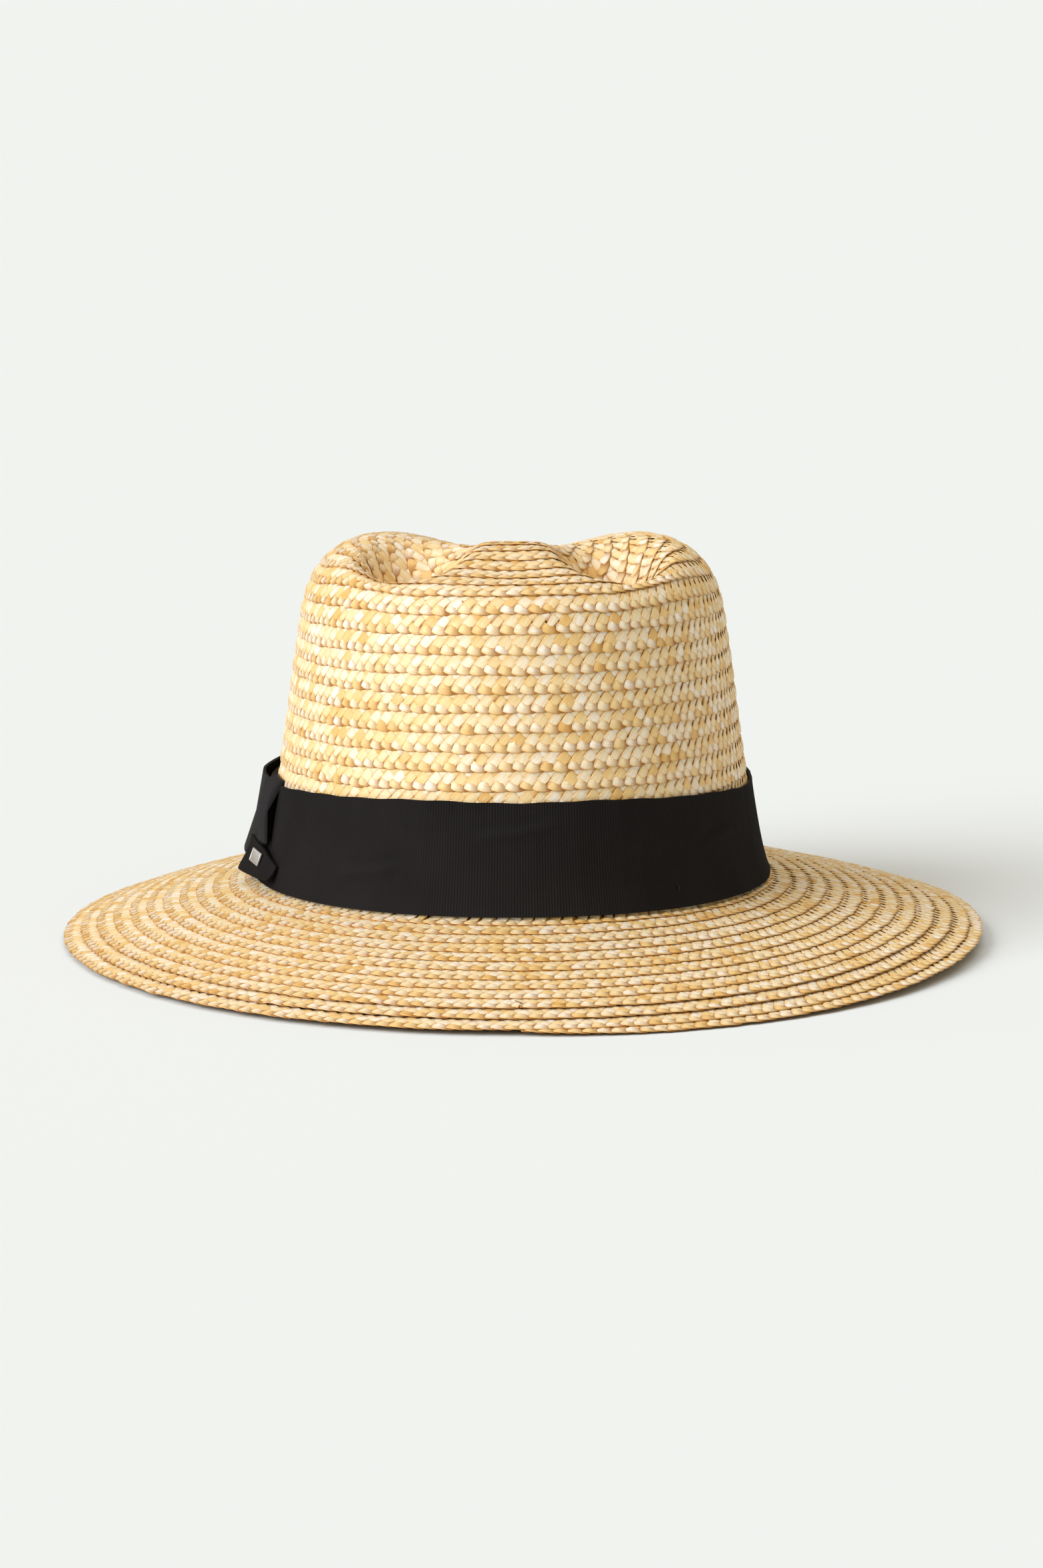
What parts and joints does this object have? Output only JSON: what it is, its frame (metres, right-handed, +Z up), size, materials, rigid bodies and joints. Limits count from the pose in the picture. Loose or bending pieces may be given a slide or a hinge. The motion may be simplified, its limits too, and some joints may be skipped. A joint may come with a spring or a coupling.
{
  "type": "straw sun hat",
  "caption": "Wide-brimmed straw sun hat with a pinched crown, a black ribbon band with a side bow and a small plain badge.",
  "frame": {"origin": "centre of the bounding box on the plane that the brim's edge rests on", "axes": "+Z up out of the crown's top; the front of the hat faces -Y; the bow is on the -X side"},
  "size_m": [0.3122, 0.3538, 0.1387],
  "materials": {
    "natural_straw": "plaited natural straw, soft sheen",
    "black_grosgrain": "ribbed woven ribbon, soft sheen",
    "black_thread": "sewing thread",
    "sweatband_cloth": "matte woven cloth",
    "woven_label": "matte woven cloth, blank",
    "badge_metal": "satin silver"
  },
  "bodies": {
    "hat": {"crown": "natural_straw", "brim": "natural_straw", "brim_edge_braid": "natural_straw", "hatband_ribbon": "black_grosgrain", "bow_loop": "black_grosgrain", "bow_knot": "black_grosgrain", "hatband_tack_front_right": "black_thread", "hatband_tack_right": "black_thread", "hatband_tack_back": "black_thread", "sweatband": "sweatband_cloth", "sweatband_joint_tape": "sweatband_cloth"},
    "bow_flap": {"bow_flap": "black_grosgrain", "badge_plate": "badge_metal"},
    "size_label": {"size_label": "woven_label"}
  },
  "joints": [
    {"name": "bow_flap_lift", "type": "hinge", "parent": "hat", "child": "bow_flap", "pos_m": [-0.08781, -0.02373, 0.03416], "axis": [-0.1886, 0.982, -0.0112], "range_deg": [0, 50], "stiffness_Nm_per_rad": 0.0005},
    {"name": "size_label_fold", "type": "hinge", "parent": "hat", "child": "size_label", "pos_m": [-0.003, 0.09366, 0.0481], "axis": [-1, 0, 0], "range_deg": [0, 140]}
  ]
}
